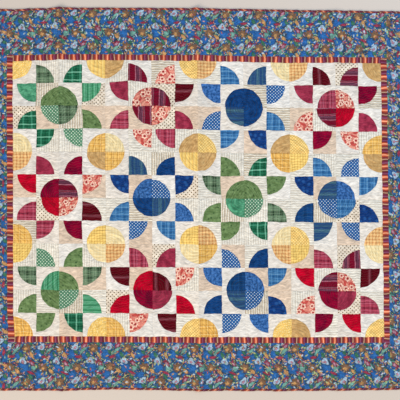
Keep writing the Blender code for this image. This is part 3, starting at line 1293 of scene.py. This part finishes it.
def add_backing(sizes):
    """The plain cotton underneath, which shows the quilting as shallow rows."""
    outer = seam_lines(sizes).outer
    low = Pair(-outer.x, -outer.y)
    x, y = plan_grid(low, outer, sizes.backing_cell)
    phase, along = wavy_lines(x, y, 2 * WAVE_SPACING, WAVE_RUN, BACK_SWING)
    seam = distance_to_sides(x, y, low, outer)
    dip = BACK_DIP * (1 - np.exp(-seam / SEAM_SOFTNESS)) * np.abs(np.sin(pi * phase))
    sheet = Sheet()
    sheet.add(
        laid(sizes, x, y, BACK_HEIGHT - dip)[:, ::-1],
        cloth=(x, y),
        stitching=(phase, along),
        seams=(seam, RIPPLE_PAINTED_SHADE),
        patches=(0.5, 0),
    )
    colour = bpy.context.scene.quilt.colours.backing
    material = stitched_cotton("backing_cotton", backing_dye, colour, 60)
    return sheet.build("backing_cloth", [material])


def backing_dye(spot, colour, size):
    return (noise(spot, size).ramp(0.3, 0.7) * 0.08 + 0.93).times(colour)


# ---------------------------------------------------------------- stage

FLOOR_REACH = 6.0
FLOOR_DROP = 0.0006  # how far the floor lies under the quilt
ROOM_COLOUR = (0.99, 0.98, 0.95, 1.0)
ROOM_LIGHT = 0.53
EYE = (-0.0016, -0.0249, 1.7631)  # where the camera stands, and its turn
EYE_TURN = (0.0103, -0.0054, 0.0003)
LENS = 36.0  # millimetres of focal length, and of the sensor's width

Lamp = namedtuple("Lamp", "name place size watts colour")
LAMPS = (
    Lamp("warm_light", (-4.76, -8.1, 5.72), 5.0, 980.0, (1.0, 0.89, 0.71)),
    Lamp("cool_light", (3.0, 2.4, 3.4), 2.4, 112.0, (0.50, 0.75, 1.0)),
)


def put(name, data, place=(0, 0, 0), turn=(0, 0, 0)):
    """A new object in the scene."""
    made = bpy.data.objects.new(name, data)
    made.location = place
    made.rotation_euler = turn
    bpy.context.scene.collection.objects.link(made)
    return made


def add_stage(colours):
    mesh = bpy.data.meshes.new("floor")
    corners = ((-1, -1), (1, -1), (1, 1), (-1, 1))
    points = [(x * FLOOR_REACH, y * FLOOR_REACH, -FLOOR_DROP) for x, y in corners]
    mesh.from_pydata(points, [], [(0, 1, 2, 3)])
    material = bpy.data.materials.new("pale_floor")
    material.use_nodes = True
    shader = material.node_tree.nodes["Principled BSDF"]
    shader.inputs["Base Color"].default_value = (*colours.floor, 1.0)
    shader.inputs["Roughness"].default_value = 0.7
    mesh.materials.append(material)
    floor = put("floor", mesh)
    floor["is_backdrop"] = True

    for lamp in LAMPS:
        light = bpy.data.lights.new(lamp.name, "AREA")
        light.size = lamp.size
        light.energy = lamp.watts
        light.color = lamp.colour
        towards_quilt = (-Vector(lamp.place)).to_track_quat("-Z", "Y").to_euler()
        put(lamp.name, light, lamp.place, towards_quilt)

    world = bpy.data.worlds.new("room")
    world.use_nodes = True
    background = world.node_tree.nodes["Background"]
    background.inputs["Color"].default_value = ROOM_COLOUR
    background.inputs["Strength"].default_value = ROOM_LIGHT
    bpy.context.scene.world = world
    bpy.context.scene.view_settings.view_transform = "Standard"

    camera = bpy.data.cameras.new("camera")
    camera.lens = LENS
    camera.sensor_width = LENS
    bpy.context.scene.camera = put("camera", camera, EYE, EYE_TURN)


# ---------------------------------------------------------------- operators and panel


class MakePatches(bpy.types.Operator):
    """Makes the pieced field of quarter-circle flowers"""

    bl_idname = "quilt.make_patches"
    bl_label = "Pieced field"

    def execute(self, context):
        add_field(context.scene.quilt.sizes)
        return {"FINISHED"}


class MakeInnerBorder(bpy.types.Operator):
    """Makes the four striped strips round the field"""

    bl_idname = "quilt.make_inner_border"
    bl_label = "Striped border"

    def execute(self, context):
        add_inner_border(context.scene.quilt.sizes)
        return {"FINISHED"}


class MakeOuterBorder(bpy.types.Operator):
    """Makes the four printed strips"""

    bl_idname = "quilt.make_outer_border"
    bl_label = "Printed border"

    def execute(self, context):
        add_outer_border(context.scene.quilt.sizes, context.scene.quilt.colours)
        return {"FINISHED"}


class MakeBinding(bpy.types.Operator):
    """Makes the bias binding round the edge"""

    bl_idname = "quilt.make_binding"
    bl_label = "Bias binding"

    def execute(self, context):
        add_binding(context.scene.quilt.sizes)
        return {"FINISHED"}


class MakeBacking(bpy.types.Operator):
    """Makes the plain cloth underneath, and hides all the imported parts"""

    bl_idname = "quilt.make_backing"
    bl_label = "Backing"

    def execute(self, context):
        sizes = context.scene.quilt.sizes
        backing = add_backing(sizes)
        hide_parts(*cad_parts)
        outer = seam_lines(sizes).outer
        sewn_on = [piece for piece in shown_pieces() if piece != backing]
        return {"FINISHED"}


class MakeStage(bpy.types.Operator):
    """Makes the floor, the lights and the camera"""

    bl_idname = "quilt.make_stage"
    bl_label = "Floor, lights and camera"

    def execute(self, context):
        add_stage(context.scene.quilt.colours)
        return {"FINISHED"}


MAKERS = (MakePatches, MakeInnerBorder, MakeOuterBorder, MakeBinding, MakeBacking, MakeStage)


class QuiltPanel(bpy.types.Panel):
    """Lists the quilt's settings and the steps that make it"""

    bl_idname = "VIEW3D_PT_quilt"
    bl_label = "Patchwork quilt"
    bl_space_type = "VIEW_3D"
    bl_region_type = "UI"
    bl_category = "Quilt"

    def draw(self, context):
        for group in (context.scene.quilt.sizes, context.scene.quilt.colours):
            box = self.layout.box()
            for name in group.__annotations__:
                box.prop(group, name)
        for maker in MAKERS:
            self.layout.operator(maker.bl_idname)


CLASSES = (QuiltSizes, QuiltColours, QuiltSettings, *MAKERS, QuiltPanel)


def register():
    for cls in CLASSES:
        bpy.utils.register_class(cls)
    bpy.types.Scene.quilt = PointerProperty(type=QuiltSettings)


def unregister():
    del bpy.types.Scene.quilt
    for cls in reversed(CLASSES):
        bpy.utils.unregister_class(cls)


def main():
    register()
    bpy.ops.quilt.make_patches()
    bpy.ops.quilt.make_inner_border()
    bpy.ops.quilt.make_outer_border()
    bpy.ops.quilt.make_binding()
    bpy.ops.quilt.make_backing()
    bpy.ops.quilt.make_stage()


if __name__ == "__main__":
    main()
